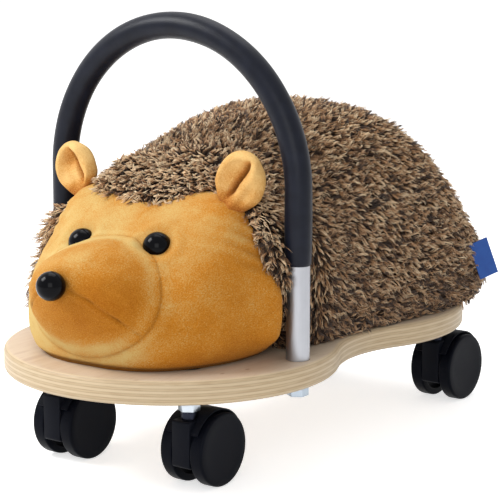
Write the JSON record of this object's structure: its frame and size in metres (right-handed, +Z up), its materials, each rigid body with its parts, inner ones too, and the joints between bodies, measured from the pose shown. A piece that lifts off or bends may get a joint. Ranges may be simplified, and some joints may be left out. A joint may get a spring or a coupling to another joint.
{
  "type": "plush ride on animal",
  "caption": "Ride-on plush animal: a furry stuffed body with a soft face on a rounded plywood board, with swivel casters and a hoop handle with a foam grip.",
  "frame": {"origin": "on the floor under the middle of the object's box", "axes": "+Z up; the animal faces -Y and its left side is +X"},
  "size_m": [0.2834, 0.5028, 0.3688],
  "materials": {
    "birch_plywood": "clear satin lacquer",
    "brushed_tube": "satin metal tube",
    "black_foam": "smooth foam with a soft sheen",
    "zinc_steel": "bright zinc plate",
    "caster_plastic": "moulded satin",
    "tread_plastic": "moulded satin",
    "brown_fur": "long pile in clumps, dark at the roots",
    "yellow_plush": "short pile plush",
    "orange_plush": "short pile plush",
    "gloss_black": "polished",
    "blue_tape": "woven tape",
    "panel_plywood": "plain sanded"
  },
  "bodies": {
    "base": {"base_board": "birch_plywood", "handle_tube": "brushed_tube", "foam_grip": "black_foam", "tube_insert_left": "zinc_steel", "tube_insert_right": "zinc_steel", "bolt_washer_left": "zinc_steel", "bolt_washer_right": "zinc_steel", "handle_bolt_left": "zinc_steel", "handle_bolt_right": "zinc_steel", "seat_panel": "panel_plywood", "body_plush": "brown_fur", "head_plush": "yellow_plush", "snout_plush": "yellow_plush", "nose": "gloss_black", "eye_left": "gloss_black", "eye_right": "gloss_black", "ear_left": "orange_plush", "ear_right": "orange_plush", "side_tag": "blue_tape", "caster_stem_front_left": "zinc_steel", "lock_nut_front_left": "zinc_steel", "caster_washer_front_left": "zinc_steel", "tee_nut_front_left": "zinc_steel", "panel_screw_front_left": "zinc_steel", "caster_stem_front_right": "zinc_steel", "lock_nut_front_right": "zinc_steel", "caster_washer_front_right": "zinc_steel", "tee_nut_front_right": "zinc_steel", "panel_screw_front_right": "zinc_steel", "caster_stem_rear_left": "zinc_steel", "lock_nut_rear_left": "zinc_steel", "caster_washer_rear_left": "zinc_steel", "tee_nut_rear_left": "zinc_steel", "panel_screw_rear_left": "zinc_steel", "caster_stem_rear_right": "zinc_steel", "lock_nut_rear_right": "zinc_steel", "caster_washer_rear_right": "zinc_steel", "tee_nut_rear_right": "zinc_steel", "panel_screw_rear_right": "zinc_steel"},
    "caster_front_left": {"caster_housing_front_left": "caster_plastic", "caster_axle_front_left": "zinc_steel"},
    "wheel_left_front_left": {"wheel_left_front_left": "tread_plastic"},
    "wheel_right_front_left": {"wheel_right_front_left": "tread_plastic"},
    "caster_front_right": {"caster_housing_front_right": "caster_plastic", "caster_axle_front_right": "zinc_steel"},
    "wheel_left_front_right": {"wheel_left_front_right": "tread_plastic"},
    "wheel_right_front_right": {"wheel_right_front_right": "tread_plastic"},
    "caster_rear_left": {"caster_housing_rear_left": "caster_plastic", "caster_axle_rear_left": "zinc_steel"},
    "wheel_left_rear_left": {"wheel_left_rear_left": "tread_plastic"},
    "wheel_right_rear_left": {"wheel_right_rear_left": "tread_plastic"},
    "caster_rear_right": {"caster_housing_rear_right": "caster_plastic", "caster_axle_rear_right": "zinc_steel"},
    "wheel_left_rear_right": {"wheel_left_rear_right": "tread_plastic"},
    "wheel_right_rear_right": {"wheel_right_rear_right": "tread_plastic"}
  },
  "joints": [
    {"name": "swivel_front_left", "type": "hinge", "parent": "base", "child": "caster_front_left", "pos_m": [0.06728, -0.15447, 0.045], "axis": [0, 0, 1], "continuous": true},
    {"name": "roll_left_front_left", "type": "hinge", "parent": "caster_front_left", "child": "wheel_left_front_left", "pos_m": [0.06728, -0.13647, 0.03], "axis": [1, 0, 0], "continuous": true},
    {"name": "roll_right_front_left", "type": "hinge", "parent": "caster_front_left", "child": "wheel_right_front_left", "pos_m": [0.06728, -0.13647, 0.03], "axis": [1, 0, 0], "continuous": true},
    {"name": "swivel_front_right", "type": "hinge", "parent": "base", "child": "caster_front_right", "pos_m": [-0.06728, -0.15447, 0.045], "axis": [0, 0, 1], "continuous": true},
    {"name": "roll_left_front_right", "type": "hinge", "parent": "caster_front_right", "child": "wheel_left_front_right", "pos_m": [-0.06728, -0.13647, 0.03], "axis": [1, 0, 0], "continuous": true},
    {"name": "roll_right_front_right", "type": "hinge", "parent": "caster_front_right", "child": "wheel_right_front_right", "pos_m": [-0.06728, -0.13647, 0.03], "axis": [1, 0, 0], "continuous": true},
    {"name": "swivel_rear_left", "type": "hinge", "parent": "base", "child": "caster_rear_left", "pos_m": [0.08004, 0.19716, 0.045], "axis": [0, 0, 1], "continuous": true},
    {"name": "roll_left_rear_left", "type": "hinge", "parent": "caster_rear_left", "child": "wheel_left_rear_left", "pos_m": [0.08004, 0.21516, 0.03], "axis": [1, 0, 0], "continuous": true},
    {"name": "roll_right_rear_left", "type": "hinge", "parent": "caster_rear_left", "child": "wheel_right_rear_left", "pos_m": [0.08004, 0.21516, 0.03], "axis": [1, 0, 0], "continuous": true},
    {"name": "swivel_rear_right", "type": "hinge", "parent": "base", "child": "caster_rear_right", "pos_m": [-0.08004, 0.19716, 0.045], "axis": [0, 0, 1], "continuous": true},
    {"name": "roll_left_rear_right", "type": "hinge", "parent": "caster_rear_right", "child": "wheel_left_rear_right", "pos_m": [-0.08004, 0.21516, 0.03], "axis": [1, 0, 0], "continuous": true},
    {"name": "roll_right_rear_right", "type": "hinge", "parent": "caster_rear_right", "child": "wheel_right_rear_right", "pos_m": [-0.08004, 0.21516, 0.03], "axis": [1, 0, 0], "continuous": true}
  ]
}
